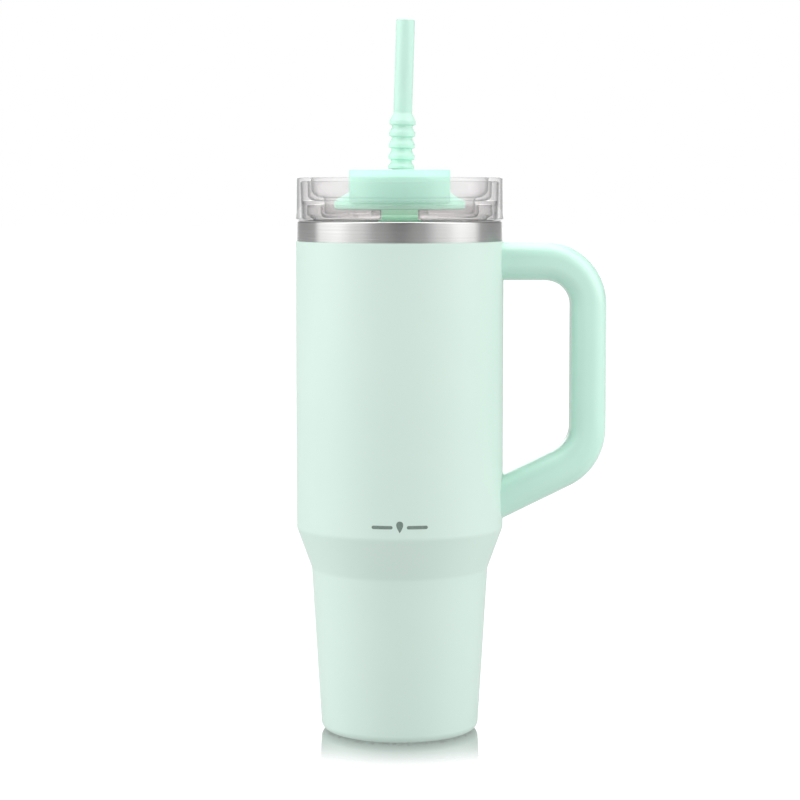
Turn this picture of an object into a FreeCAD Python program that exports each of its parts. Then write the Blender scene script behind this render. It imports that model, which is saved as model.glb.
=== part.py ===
import FreeCAD, Part
import math
import os

os.makedirs("parts", exist_ok=True)
V = FreeCAD.Vector

# All sizes in millimetres. Z up, origin at the centre of the standing ring,
# handle towards +X, user's front face towards -Y.

# Vessel, outside
BODY_R = 50.0
COAT_TOP = 238.0
CONE_TOP = 99.5
CONE_FOOT = 79.54
CONE_FOOT_R = 42.735
BASE_R = 37.99
BASE_CORNER = 4.0
STAND_INNER_R = 30.4
SHELL_WALL = 0.5
PLATE_WALL = 0.8
# Vessel, inside
CUP_R = 45.3
CUP_WALL = 0.5
CUP_FLOOR = 10.0
RIM_Z = 247.9
LIP_ROUND = 1.0
BAND_R = 49.45
BAND_FOOT = 233.0
# Handle
ARM_TOP_Z = 228.5
ARM_LOW_Z = 114.4
GRIP_X = 90.9
LOW_CORNER_Z = 134.5
TOP_BEND_R = 21.5
LOW_BEND_R = 22.0
ARM_DEEP = 18.6
GRIP_DEEP = 17.1
HANDLE_WIDE = 24.0
HANDLE_ROUND = 7.5
CORE_DEEP = 10.4
CORE_WIDE = 15.6
SCREW_X = 11.0
# Lid
LID_FOOT = 248.3
DECK_Z = 257.2
LID_TOP = 268.5
WELL_R = 36.4
WELL_FLOOR = 251.0
PLUG_R = 44.4
PLUG_FOOT = 236.0
HUB_HOLE_R = 9.6
# Turning cover
DISC_R = 31.5
DISC_FOOT = 253.3
DISC_TOP = 257.1
CONE_CAP_R = 24.5
CONE_CAP_Z = 261.2
HUB_R = 8.9
STRAW_HOLE_R = 5.7
CAP_R = 33.0
CAP_HALF = 23.9
CAP_FOOT = 256.5
CAP_TOP = 272.1
CAP_WALL = 2.2
CAP_CORNER = 3.5
CAP_FACET = (1.7, 3.2)
CAP_EDGE = 0.8
# Straw, measured along its own axis from the point where it crosses the lid's axis
STRAW_TILT = 1.74
STRAW_CROSS_Z = 250.0
STRAW_R = 4.5
STRAW_BORE = 3.4
STRAW_LOW = -234.0
BELLOWS_LOW = 22.4
BELLOWS_TOP = 48.9
STRAW_END = 93.54
RIB_R = 6.3
NECK_R = 5.0
RIB_PITCH = 5.5


def outline(corners):
    """Closed wire in the XZ plane from (x, z, corner radius) triples."""
    count = len(corners)
    edges = []
    last = None
    first = None
    for i in range(count):
        p = V(corners[i][0], 0, corners[i][1])
        a = V(corners[i - 1][0], 0, corners[i - 1][1]) - p
        n = corners[(i + 1) % count]
        b = V(n[0], 0, n[1]) - p
        radius = corners[i][2]
        if radius > 0:
            half = a.getAngle(b) / 2
            reach = radius / math.tan(half)
            a.normalize()
            b.normalize()
            start = p + a * reach
            end = p + b * reach
            middle = a + b
            middle.normalize()
            mid = p + middle * (radius / math.sin(half) - radius)
        else:
            start = p
            end = p
        if last is None:
            first = start
        elif last.distanceToPoint(start) > 1e-6:
            edges.append(Part.makeLine(last, start))
        if radius > 0:
            edges.append(Part.Arc(start, mid, end).toShape())
        last = end
    if last.distanceToPoint(first) > 1e-6:
        edges.append(Part.makeLine(last, first))
    return Part.Wire(edges)


def turned(corners):
    """Solid of revolution about Z."""
    return Part.Face(outline(corners)).revolve(V(0, 0, 0), V(0, 0, 1), 360)


def beside(path, distance):
    """The (r, z, radius) path moved sideways to its left, with mitred corners."""
    sides = []
    for (x0, z0, _), (x1, z1, _) in zip(path, path[1:]):
        length = math.hypot(x1 - x0, z1 - z0)
        ux = (x1 - x0) / length
        uz = (z1 - z0) / length
        sides.append((x0 - uz * distance, z0 + ux * distance, ux, uz))
    moved = [(sides[0][0], sides[0][1], path[0][2])]
    for i in range(1, len(sides)):
        ax, az, ux, uz = sides[i - 1]
        bx, bz, vx, vz = sides[i]
        cross = ux * vz - uz * vx
        t = ((bx - ax) * vz - (bz - az) * vx) / cross
        radius = path[i][2]
        if radius > 0:
            radius = radius - distance * (1 if cross > 0 else -1)
        moved.append((ax + ux * t, az + uz * t, max(radius, 0)))
    x1, z1, r1 = path[-1]
    ux, uz = sides[-1][2:]
    moved.append((x1 - uz * distance, z1 + ux * distance, r1))
    return moved


def pressed(path, thickness):
    """Turned sheet whose one face follows the path, the other lies to its left."""
    return turned(path + beside(path, thickness)[::-1])


def body_path():
    """Outer face of the vessel from the standing ring up to the coating's edge."""
    return [
        (STAND_INNER_R, 0, 0),
        (BASE_R, 0, BASE_CORNER),
        (CONE_FOOT_R, CONE_FOOT, 7),
        (BODY_R, CONE_TOP, 7),
        (BODY_R, COAT_TOP, 0),
    ]


def sector(r0, r1, z0, z1, middle, half):
    """Piece of a ring around Z, centred on an azimuth, in degrees."""
    ring = Part.makeCylinder(r1, z1 - z0, V(0, 0, z0), V(0, 0, 1), 2 * half)
    ring = ring.cut(Part.makeCylinder(r0, z1 - z0, V(0, 0, z0)))
    ring.rotate(V(0, 0, 0), V(0, 0, 1), middle - half)
    return ring


def outer_shell():
    """Coated outer steel body, with its top edge eased."""
    shell = pressed(body_path(), SHELL_WALL)
    edges = [e for e in shell.Edges if abs(e.BoundBox.ZMin - COAT_TOP) < 0.01]
    edges = [e for e in edges if e.BoundBox.ZLength < 0.01 and e.BoundBox.XMax > BODY_R - 0.1]
    return shell.makeFillet(0.4, edges)


def inner_vessel():
    """Bare steel cup; its lip folds over flat and its skirt carries the shell."""
    cup = beside(body_path(), BODY_R - CUP_R)
    low = cup[2]
    high = cup[3]
    slope = (low[0] - cup[1][0]) / (low[1] - cup[1][1])
    foot_r = low[0] - slope * (low[1] - CUP_FLOOR)
    path = [
        (0, CUP_FLOOR, 0),
        (foot_r, CUP_FLOOR, 8),
        (low[0], low[1], 10),
        (CUP_R, high[1], 10),
        (CUP_R, RIM_Z, LIP_ROUND),
        (BAND_R, RIM_Z, LIP_ROUND),
        (BAND_R, BAND_FOOT, 0),
    ]
    return pressed(path, -CUP_WALL)


def base_plate():
    """Pressed steel bottom, welded inside the standing ring, dimpled for the seal."""
    path = [
        (33.6, SHELL_WALL, 0),
        (31.3, SHELL_WALL, 1.0),
        (30.6, 4.7, 1.0),
        (9.0, 4.7, 1.5),
        (6.5, 6.0, 1.5),
        (1.2, 6.0, 0),
    ]
    return pressed(path, -PLATE_WALL)


def seal_off_plug():
    """Brazed bead that closes the evacuation hole."""
    return turned([(0, 5.0, 0), (2.2, 5.0, 0.6), (3.0, 6.0, 0), (1.15, 6.0, 0), (1.15, 7.0, 0), (0, 7.0, 0)])


def getter_pellet():
    """Gas-absorbing tablet in the vacuum space."""
    pellet = Part.makeCylinder(4.5, 1.8, V(19, 0, 5.55))
    return pellet.makeFillet(0.3, pellet.Edges[:1] + pellet.Edges[2:3])


def getter_clip():
    """Thin strip that holds the tablet on the base plate."""
    path = [(-9.5, 5.5, 0), (-5.2, 5.5, 0.5), (-5.2, 7.45, 0.5), (5.2, 7.45, 0.5), (5.2, 5.5, 0.5), (9.5, 5.5, 0)]
    face = Part.Face(outline(path + beside(path, 0.3)[::-1]))
    strip = face.extrude(V(0, 4, 0))
    strip.translate(V(19, -2, 0))
    return strip


def base_cover():
    """Coated disc glued in the base recess over the seal."""
    return turned([(0, 1.2, 0), (29.8, 1.2, 0.6), (29.8, 4.5, 0.4), (0, 4.5, 0)])


def low_arm_angle():
    """Slope of the lower arm above the horizontal, in degrees."""
    return math.degrees(math.atan2(LOW_CORNER_Z - ARM_LOW_Z, GRIP_X - BODY_R))


def on_upper_arm(shape):
    """Carry a shape from arm coordinates to the upper arm."""
    shape.translate(V(BODY_R, 0, ARM_TOP_Z))
    return shape


def on_lower_arm(shape):
    """Carry a shape from arm coordinates to the lower arm."""
    shape.rotate(V(0, 0, 0), V(0, 1, 0), -low_arm_angle())
    shape.translate(V(BODY_R, 0, ARM_LOW_Z))
    return shape


def handle_spine():
    """Centre line of the handle, and the points where its section is given."""
    angle = math.radians(low_arm_angle())
    along = V(math.cos(angle), 0, math.sin(angle))
    turn = math.radians(90 - low_arm_angle()) / 2
    reach = LOW_BEND_R * math.tan(turn)
    corner = V(GRIP_X, 0, LOW_CORNER_Z)
    top_corner = V(GRIP_X, 0, ARM_TOP_Z)
    a = V(BODY_R - 6, 0, ARM_TOP_Z)
    b = top_corner - V(TOP_BEND_R, 0, 0)
    c = top_corner - V(0, 0, TOP_BEND_R)
    d = corner + V(0, 0, reach)
    e = corner - along * reach
    f = V(BODY_R, 0, ARM_LOW_Z) - along * 8
    top_mid = top_corner + V(-1, 0, -1) * (TOP_BEND_R * (1 - math.sqrt(0.5)))
    inward = V(-1, 0, 0) * math.cos(turn) + V(0, 0, 1) * math.sin(turn)
    low_mid = corner + inward * (LOW_BEND_R / math.cos(turn) - LOW_BEND_R)
    edges = [
        Part.makeLine(a, b),
        Part.Arc(b, top_mid, c).toShape(),
        Part.makeLine(c, d),
        Part.Arc(d, low_mid, e).toShape(),
        Part.makeLine(e, f),
    ]
    stations = [(a, V(0, 0, 1)), (b, V(0, 0, 1)), (c, V(1, 0, 0)), (d, V(1, 0, 0))]
    out = V(math.sin(angle), 0, -math.cos(angle))
    stations = stations + [(e, out), (f, out)]
    return Part.Wire(edges), stations


def section(centre, outward, deep, wide, corner):
    """Rounded rectangle across the handle: deep in its plane, wide along Y."""
    side = V(0, 1, 0)
    a = deep / 2
    b = wide / 2
    k = corner
    s = k * (1 - math.sqrt(0.5))
    spots = []
    for sx, sy in ((1, 1), (-1, 1), (-1, -1), (1, -1)):
        on_deep = (sx * a, sy * (b - k))
        on_wide = (sx * (a - k), sy * b)
        mid = (sx * (a - s), sy * (b - s))
        order = [on_deep, mid, on_wide] if sx * sy > 0 else [on_wide, mid, on_deep]
        spots.append([centre + outward * u + side * v for u, v in order])
    edges = []
    for i in range(4):
        edges.append(Part.Arc(*spots[i]).toShape())
        edges.append(Part.makeLine(spots[i][2], spots[(i + 1) % 4][0]))
    return Part.Wire(edges)


def handle_sweep(arm_deep, grip_deep, wide, corner):
    """Solid along the handle's centre line, a little slimmer at the grip."""
    spine, stations = handle_spine()
    depths = [arm_deep, arm_deep, grip_deep, grip_deep, arm_deep, arm_deep]
    pipe = Part.BRepOffsetAPI.MakePipeShell(spine)
    pipe.setBiNormalMode(V(0, 1, 0))
    for (centre, outward), deep in zip(stations, depths):
        pipe.add(section(centre, outward, deep, wide, corner))
    pipe.build()
    pipe.makeSolid()
    return pipe.shape()


def core_sweep():
    """Space of the stiff core inside the handle."""
    return handle_sweep(CORE_DEEP, CORE_DEEP, CORE_WIDE, 3.5)


def tongue_box(grow):
    """Bracket tongue, or its pocket, in arm coordinates."""
    return Part.makeBox(17.5 + grow, 9 + 2 * grow, 5 + 2 * grow, V(0, -4.5 - grow, -2.5 - grow))


def screw_tools():
    """Holes for one screw: through the core, and up through the grip."""
    core_hole = Part.makeCylinder(1.8, 12, V(SCREW_X, 0, -9), V(0, 0, 1))
    grip_hole = Part.makeCylinder(3.4, 12, V(SCREW_X, 0, -5.2 - 12), V(0, 0, 1))
    return core_hole, grip_hole


def handle_core():
    """Stiff plastic skeleton with a pocket for each bracket tongue."""
    core = core_sweep().cut(Part.makeCylinder(BODY_R + 2.0, 300, V(0, 0, 0)))
    for place in (on_upper_arm, on_lower_arm):
        core = core.cut(place(tongue_box(0.3)))
        core = core.cut(place(screw_tools()[0]))
    return core


def handle_grip():
    """Soft outer moulding of the handle, ends shaped to the vessel."""
    grip = handle_sweep(ARM_DEEP, GRIP_DEEP, HANDLE_WIDE, HANDLE_ROUND)
    grip = grip.cut(core_sweep())
    grip = grip.cut(Part.makeCylinder(BODY_R + 0.05, 300, V(0, 0, 0)))
    for place in (on_upper_arm, on_lower_arm):
        grip = grip.cut(place(screw_tools()[1]))
    return grip


def bracket(place):
    """Steel foot welded to the shell, with a tongue for the handle's screw."""
    foot = place(Part.makeBox(16, 13, 8.4, V(-8, -6.5, -4.2)))
    skin = Part.makeCylinder(BODY_R + 1.45, 300, V(0, 0, 0))
    skin = skin.cut(Part.makeCylinder(BODY_R + 0.05, 300, V(0, 0, 0)))
    tongue = place(tongue_box(0)).cut(Part.makeCylinder(BODY_R + 0.4, 300, V(0, 0, 0)))
    whole = foot.common(skin).fuse(tongue).removeSplitter()
    return whole.cut(place(Part.makeCylinder(1.5, 12, V(SCREW_X, 0, -6))))


def handle_screw():
    """Pan-head screw in arm coordinates, head towards the arm's underside."""
    shank = Part.makeCylinder(1.45, 7.4, V(SCREW_X, 0, -5.2))
    head = Part.makeCylinder(2.8, 1.8, V(SCREW_X, 0, -7.0))
    slot = Part.makeBox(0.7, 3.6, 0.9, V(SCREW_X - 0.35, -1.8, -7.0))
    cross = Part.makeBox(3.6, 0.7, 0.9, V(SCREW_X - 1.8, -0.35, -7.0))
    return head.cut(slot).cut(cross).fuse(shank).removeSplitter()


def handle_plug():
    """Plug that hides one screw, flush with the arm's underside."""
    return Part.makeCylinder(3.35, 1.7, V(SCREW_X, 0, -9.27))


def lid_body():
    """Clear lid base: plug, deck, well and the boss the cover turns on."""
    body = turned([
        (47.2, DECK_Z, 0.3),
        (46.9, DECK_Z - 1.8, 0.5),
        (46.6, LID_FOOT, 0.4),
        (PLUG_R, LID_FOOT, 0),
        (PLUG_R, 243.6, 0),
        (42.9, 243.6, 0),
        (42.9, 238.4, 0),
        (PLUG_R, 238.4, 0),
        (PLUG_R, PLUG_FOOT, 1.0),
        (41.6, PLUG_FOOT, 0.6),
        (41.6, 248.2, 1.0),
        (44.7, 250.4, 1.0),
        (44.9, DECK_Z - 1.8, 0.8),
        (WELL_R + 1.8, DECK_Z - 1.8, 0.6),
        (WELL_R + 1.8, WELL_FLOOR - 1.8, 2.6),
        (HUB_HOLE_R, WELL_FLOOR - 1.8, 0.3),
        (HUB_HOLE_R, DISC_FOOT - 0.4, 0.4),
        (13.8, DISC_FOOT - 0.4, 0.5),
        (13.8, WELL_FLOOR, 0.6),
        (WELL_R, WELL_FLOOR, 1.6),
        (WELL_R, DECK_Z, 0.4),
    ])
    body = body.cut(sector(23.6, 29.2, WELL_FLOOR - 3, WELL_FLOOR + 1, 90, 16))
    return body.cut(Part.makeCylinder(1.2, 4, V(-21, 0, WELL_FLOOR - 3)))


def lid_rim():
    """Clear double-walled collar bonded on the deck around the bowl."""
    return turned([
        (49.95, LID_FOOT, 0.8),
        (49.76, LID_TOP, 1.1),
        (42.9, LID_TOP, 1.0),
        (42.4, DECK_Z + 1.4, 5.0),
        (36.7, DECK_Z + 1.4, 0.5),
        (36.7, DECK_Z, 0),
        (44.2, DECK_Z, 3.0),
        (44.6, LID_TOP - 1.8, 1.2),
        (48.1, LID_TOP - 1.8, 1.2),
        (47.5, LID_FOOT, 0.3),
    ])


def lid_gasket():
    """Silicone ring with two lips, drawn at its fitted size."""
    return turned([
        (42.95, 238.45, 0),
        (44.0, 238.45, 0.2),
        (44.0, 239.3, 0.2),
        (45.0, 239.9, 0.25),
        (45.0, 240.5, 0.2),
        (44.0, 240.8, 0.2),
        (44.0, 241.5, 0.2),
        (45.0, 242.1, 0.25),
        (45.0, 242.7, 0.2),
        (44.0, 243.0, 0.1),
        (44.0, 243.55, 0.1),
        (42.95, 243.55, 0),
    ])


def disc_envelope(grow):
    """Outer form of the turning disc and its cone, optionally grown."""
    return turned([
        (0, DISC_FOOT - grow, 0),
        (DISC_R + grow, DISC_FOOT - grow, 0.4),
        (DISC_R + grow, DISC_TOP + grow, 0.3),
        (CONE_CAP_R + grow, CONE_CAP_Z + grow, 0),
        (0, CONE_CAP_Z + grow, 0),
    ])


def cover_disc():
    """Turning disc with its hub below and the straw's tower above."""
    low_hub = Part.makeCylinder(HUB_R, DISC_FOOT - 248.0, V(0, 0, 248.0))
    tower = Part.makeCylinder(8.0, CAP_TOP - CAP_WALL - CONE_CAP_Z, V(0, 0, CONE_CAP_Z))
    disc = disc_envelope(0).fuse([low_hub, tower])
    disc = disc.cut(Part.makeCylinder(STRAW_HOLE_R, 40, V(0, 0, 240)))
    disc = disc.cut(Part.makeCylinder(7.4, 4.2, V(0, 0, 248.0)))
    disc = disc.cut(turned([(10.5, 255.6, 0.8), (22.3, 255.6, 0.8), (22.3, 263, 0), (10.5, 263, 0)]))
    return disc.cut(sector(25.2, 30.2, 252, 262, 0, 14)).removeSplitter()


def cap_block(inset, z0, z1, facet=(0, 0)):
    """Grip block: a round-ended bar, straight on its long sides, faceted on its round top edges."""
    half = CAP_HALF - inset
    radius = CAP_R - inset
    disc = turned([(0, z0, 0), (radius, z0, 0), (radius, z1 - facet[1], 0), (radius - facet[0], z1, 0), (0, z1, 0)])
    bar = Part.makeBox(2 * half, 100, z1 - z0, V(-half, -50, z0))
    block = disc.common(bar)
    corners = [e for e in block.Edges if e.BoundBox.XLength < 0.01 and e.BoundBox.YLength < facet[0] + 2]
    return block.makeFillet(max(CAP_CORNER - inset, 1.0), corners)


def cover_cap():
    """Hollow grip block clipped over the disc."""
    block = cap_block(0, CAP_FOOT, CAP_TOP, CAP_FACET)
    top = [e for e in block.Edges if e.BoundBox.ZMin > CAP_TOP - 0.01]
    block = block.makeFillet(CAP_EDGE, top)
    block = block.cut(cap_block(CAP_WALL, CAP_FOOT - 1, CAP_TOP - CAP_WALL))
    block = block.cut(disc_envelope(0.05))
    return block.cut(Part.makeCylinder(STRAW_HOLE_R, 20, V(0, 0, CAP_TOP - 10)))


def cover_seal():
    """Silicone pad under the disc that closes the sip hole."""
    return sector(22.0, 30.4, WELL_FLOOR + 0.4, DISC_FOOT, 90, 22)


def straw_grommet():
    """Silicone sleeve in the hub that seals on the straw."""
    sleeve = turned([
        (5.7, 246.9, 0.3),
        (10.4, 246.9, 0.5),
        (10.4, 248.0, 0.5),
        (7.35, 248.0, 0),
        (7.35, 252.1, 0.2),
        (5.7, 252.1, 0.2),
        (5.7, 251.2, 0),
        (4.4, 250.7, 0),
        (4.4, 249.3, 0),
        (5.7, 248.6, 0),
    ])
    bore = Part.makeCylinder(STRAW_R + 0.1, 8, V(0, 0, -4))
    return sleeve.cut(on_straw(bore))


def on_straw(shape):
    """Carry a shape from straw coordinates to the tilted straw."""
    shape.rotate(V(0, 0, 0), V(0, 1, 0), STRAW_TILT)
    shape.translate(V(0, 0, STRAW_CROSS_Z))
    return shape


def tube(low, high):
    """Plain length of straw with eased ends."""
    return turned([
        (STRAW_BORE, low, 0.25),
        (STRAW_R, low, 0.3),
        (STRAW_R, high, 0.3),
        (STRAW_BORE, high, 0.25),
    ])


def straw_bellows():
    """Corrugated bend: stacked cones, each with a short band and an undercut."""
    face = [(STRAW_R, BELLOWS_TOP, 0)]
    edge = BELLOWS_TOP - 5.3
    face.append((RIB_R, edge + 1.8, 0.6))
    face.append((RIB_R, edge, 0.3))
    for _ in range(3):
        face.append((NECK_R, edge - 0.5, 0.2))
        face.append((NECK_R, edge - 1.5, 0.4))
        edge = edge - RIB_PITCH
        face.append((RIB_R, edge + 1.8, 0.4))
        face.append((RIB_R, edge, 0.3))
    face.append((NECK_R, edge - 0.5, 0.2))
    face.append((NECK_R, edge - 1.5, 0.4))
    face.append((RIB_R, edge - 3.4, 0.4))
    face.append((RIB_R, BELLOWS_LOW, 0.2))
    wall = STRAW_R - STRAW_BORE
    back = [(r - wall, z + 0.2, min(k, 0.2)) for r, z, k in face[1:-1]]
    back = back + [(RIB_R - wall, BELLOWS_LOW + 0.9, 0.2), (STRAW_BORE, BELLOWS_LOW + 0.9, 0)]
    back = back + [(STRAW_BORE, BELLOWS_LOW, 0)]
    return turned(face + back[::-1] + [(STRAW_BORE, BELLOWS_TOP, 0)])


def as_group(solids):
    """Several separate solids kept in one node."""
    return Part.makeCompound(solids)


def build():
    """Every node of the mug by name."""
    return {
        "outer_shell": outer_shell(),
        "inner_vessel": inner_vessel(),
        "base_plate": base_plate(),
        "seal_off_plug": seal_off_plug(),
        "getter_pellet": getter_pellet(),
        "getter_clip": getter_clip(),
        "base_cover": base_cover(),
        "handle_bracket_upper": bracket(on_upper_arm),
        "handle_bracket_lower": bracket(on_lower_arm),
        "handle_core": handle_core(),
        "handle_grip": handle_grip(),
        "handle_screws": as_group([on_upper_arm(handle_screw()), on_lower_arm(handle_screw())]),
        "handle_screw_plugs": as_group([on_upper_arm(handle_plug()), on_lower_arm(handle_plug())]),
        "lid_body": lid_body(),
        "lid_rim": lid_rim(),
        "lid_gasket": lid_gasket(),
        "cover_disc": cover_disc(),
        "cover_cap": cover_cap(),
        "cover_seal": cover_seal(),
        "straw_grommet": straw_grommet(),
        "straw_lower_tube": on_straw(tube(STRAW_LOW, BELLOWS_LOW - 0.05)),
        "straw_bellows": on_straw(straw_bellows()),
        "straw_mouth_tube": on_straw(tube(BELLOWS_TOP + 0.05, STRAW_END)),
    }


for name, shape in build().items():
    bounds = shape.BoundBox
    print("%-22s solids %d valid %s volume %.1f x %.2f..%.2f z %.2f..%.2f" % (
        name, len(shape.Solids), shape.isValid(), shape.Volume,
        bounds.XMin, bounds.XMax, bounds.ZMin, bounds.ZMax))
    shape.exportStep("parts/" + name + ".step")
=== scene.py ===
import bmesh
import bpy
import math
from mathutils import Matrix, Vector


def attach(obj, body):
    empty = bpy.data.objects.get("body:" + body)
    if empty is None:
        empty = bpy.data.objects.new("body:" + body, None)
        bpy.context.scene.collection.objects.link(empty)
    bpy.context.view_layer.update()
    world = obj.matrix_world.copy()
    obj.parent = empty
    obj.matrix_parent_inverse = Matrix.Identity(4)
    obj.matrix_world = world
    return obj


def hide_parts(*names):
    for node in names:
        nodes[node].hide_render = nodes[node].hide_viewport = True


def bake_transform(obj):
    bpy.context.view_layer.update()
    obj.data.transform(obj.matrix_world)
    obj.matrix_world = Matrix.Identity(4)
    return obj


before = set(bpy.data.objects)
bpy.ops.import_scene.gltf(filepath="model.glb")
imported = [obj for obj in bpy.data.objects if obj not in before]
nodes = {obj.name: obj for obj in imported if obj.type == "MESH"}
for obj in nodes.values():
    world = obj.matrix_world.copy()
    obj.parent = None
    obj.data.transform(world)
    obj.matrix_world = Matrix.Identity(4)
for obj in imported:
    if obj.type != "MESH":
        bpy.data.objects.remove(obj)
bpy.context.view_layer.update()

MM = 0.001

# Sizes in millimetres, the same as the CAD's. Heights are above the standing ring's foot.
BODY_R = 50.0
COAT_TOP = 238.0
CONE_TOP = 99.5
CONE_FOOT = 79.54
CONE_FOOT_R = 42.735
BASE_R = 37.99
BASE_CORNER = 4.0
STAND_INNER_R = 30.4
SHELL_WALL = 0.5
BASE_DISC_R = 29.8
BASE_DISC_TOP = 4.5

CUP_R = 45.3
CUP_WALL = 0.5
CUP_FLOOR = 10.0
RIM_Z = 247.9
LIP_ROUND = 1.0
BAND_R = 49.45
BAND_FOOT = 233.0

ARM_TOP_Z = 228.5
ARM_LOW_Z = 114.4
GRIP_X = 90.9
LOW_CORNER_Z = 134.5
TOP_BEND_R = 21.5
LOW_BEND_R = 22.0
ARM_DEEP = 18.6
GRIP_DEEP = 17.1
HANDLE_WIDE = 24.0
HANDLE_ROUND = 7.5
HANDLE_SUNK = 0.02  # how far the arms' ends sink into the body
SCREW_X = 11.0
SCREW_HOLE_R = 3.42
SCREW_HOLE_DEPTH = 1.8

LID_FOOT = 248.3
DECK_Z = 257.2
DECK_UNDER = 255.4
LID_TOP = 268.5
COLLAR_R = 49.95
COLLAR_WALL = 1.8
WELL_R = 36.4
WELL_FLOOR = 251.0
WELL_UNDER = 249.2
HUB_HOLE_R = 9.6
HUB_WALL_R = 13.8
HUB_WALL_TOP = 252.9
PLUG_R = 44.4
PLUG_FOOT = 236.0
PLUG_INNER_R = 41.6
GROOVE_R = 42.9
GROOVE_FOOT = 238.4
GROOVE_TOP = 243.6
GASKET_BACK_R = 44.0
GASKET_LIP_R = 45.0
SIP_AZIMUTH = 90
VENT_R = 1.2
VENT_X = -21

DISC_R = 31.5
DISC_FOOT = 253.3
DISC_TOP = 257.1
CONE_CAP_R = 24.5
CONE_CAP_Z = 261.2
HUB_R = 8.9
HUB_FOOT = 248.0
# Below this height the hub gets the edge's weaker painted glow, which paints shade at its foot.
HUB_SHADE_Z = 249.2
GUIDE_R = 8.0
GUIDE_TOP = 269.9
STRAW_HOLE_R = 5.7
SLEEVE_R = 7.4
SLEEVE_TOP = 252.2
CAP_R = 33.0
CAP_HALF = 23.9
CAP_FOOT = 256.5
CAP_STRAIGHT_Z = 262.5
CAP_TOP = 272.1
CAP_WALL = 2.2
CAP_CORNER = 3.5
CAP_FACET = (1.7, 3.2)
CAP_EDGE = 0.8

STRAW_TILT = math.radians(1.74)
STRAW_CROSS_Z = 250.0
STRAW_R = 4.5
STRAW_BORE = 3.4
STRAW_LOW = -234.0
STRAW_END = 93.54
BELLOWS_LOW = 22.4
BELLOWS_TOP = 48.9
RIB_R = 6.3
NECK_R = 5.0
RIB_PITCH = 5.5

# The printed mark on the front of the body.
MARK_Z = 106.0
DROP_HALF_WIDE = 2.3
DROP_HALF_TALL = 2.8
DASH_X = 8.3
DASH_HALF = 4.2
DASH_R = 0.8
INK_PROUD = 0.03
INK_SUNK = 0.05

# Below this angle in degrees an edge is shaded smooth.
SHARP = 38.0
COVER_SHARP = 20.0

# The room's brightness by azimuth in degrees, 0 at the camera's side, positive to the right:
# what reflections see of it, and what rays through silicone see.
ROOM_PEAK = 2.0
ROOM_ROUND = [
    (-180, 1.7), (-167, 1.4), (-156, 0.27), (-136, 0.25), (-112, 0.36), (-99, 1.75), (-74, 2.0),
    (-48, 1.15), (-24, 0.33), (0, 0.04), (24, 0.33), (48, 1.25), (72, 2.0), (90, 1.7),
    (104, 0.36), (124, 0.23), (140, 0.24), (156, 0.3), (167, 1.4), (180, 1.7),
]
ROOM_THROUGH = [
    (-180, 1.0), (-140, 0.95), (-110, 0.6), (-60, 0.5), (0, 0.4), (60, 0.5), (110, 0.6),
    (140, 0.95), (180, 1.0),
]
LIGHTS_AIM_Z = 0.16
FLOOR_HALF = 12.0
FLOOR_GAP = 0.0002
FLOOR_GLOW = 0.5
FLOOR_WHITE = 0.95

# The floor's mirror is full inside one radius and gone outside another, in millimetres. It also
# fades by Layer Weight's facing value: none from steeply above, all of it seen low.
MIRROR_FULL_R = 36
MIRROR_END_R = 98
MIRROR_SHARE = 0.92
MIRROR_STEEP = 0.70
MIRROR_LOW = 0.755

CAMERA_LENS = 110.0
CAMERA_SENSOR = 36.0
CAMERA_PLACE = (0.00014, -1.180, 0.2685)
CAMERA_DOWN = 5.21

# What a face of clear plastic lets through: the thin collar and the thicker base seen square on,
# and either seen edge-on.
COLLAR_FACE_ON = (0.984, 0.979, 0.980, 1.0)
BASE_FACE_ON = (0.940, 0.933, 0.933, 1.0)
CLEAR_EDGE_ON = (0.42, 0.43, 0.425, 1.0)

# 8-bit colour of the painted glow: an emission with no lamp behind it that lights the cover's edge,
# its hub and the grommet, which sit in shade.
HUB_PAINTED_GLOW = (133, 178, 151)


# ---------------------------------------------------------------- shapes

def rounded(corners, step=9.0):
    """Points of a closed path of (r, z, corner radius) triples, its corners turned into arcs."""
    count = len(corners)
    points = []
    for i, (x, z, radius) in enumerate(corners):
        p = Vector((x, z))
        if radius <= 0:
            points.append(p)
            continue
        a = (Vector(corners[i - 1][:2]) - p).normalized()
        b = (Vector(corners[(i + 1) % count][:2]) - p).normalized()
        half = a.angle(b) / 2
        centre = p + (a + b).normalized() * (radius / math.sin(half))
        start = p + a * (radius / math.tan(half)) - centre
        turn = math.pi - 2 * half
        if a.x * b.y - a.y * b.x > 0:
            turn = -turn
        parts = max(2, round(abs(math.degrees(turn)) / step))
        for k in range(parts + 1):
            points.append(centre + Matrix.Rotation(turn * k / parts, 2) @ start)
    return points


def beside(path, distance):
    """A path of (r, z, radius) triples moved sideways to its left, corners mitred."""
    sides = []
    for (x0, z0, _), (x1, z1, _) in zip(path, path[1:]):
        length = math.hypot(x1 - x0, z1 - z0)
        ux = (x1 - x0) / length
        uz = (z1 - z0) / length
        sides.append((x0 - uz * distance, z0 + ux * distance, ux, uz))
    moved = [(sides[0][0], sides[0][1], path[0][2])]
    for i in range(1, len(sides)):
        ax, az, ux, uz = sides[i - 1]
        bx, bz, vx, vz = sides[i]
        cross = ux * vz - uz * vx
        t = ((bx - ax) * vz - (bz - az) * vx) / cross
        radius = path[i][2]
        if radius > 0:
            radius -= distance * (1 if cross > 0 else -1)
        moved.append((ax + ux * t, az + uz * t, max(radius, 0)))
    x1, z1, r1 = path[-1]
    ux, uz = sides[-1][2:]
    moved.append((x1 - uz * distance, z1 + ux * distance, r1))
    return moved


def shade_smooth(mesh, sharp=SHARP):
    """Smooth shading that stops at sharp edges."""
    mesh.polygons.foreach_set("use_smooth", [True] * len(mesh.polygons))
    mesh.set_sharp_from_angle(angle=math.radians(sharp))


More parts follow.
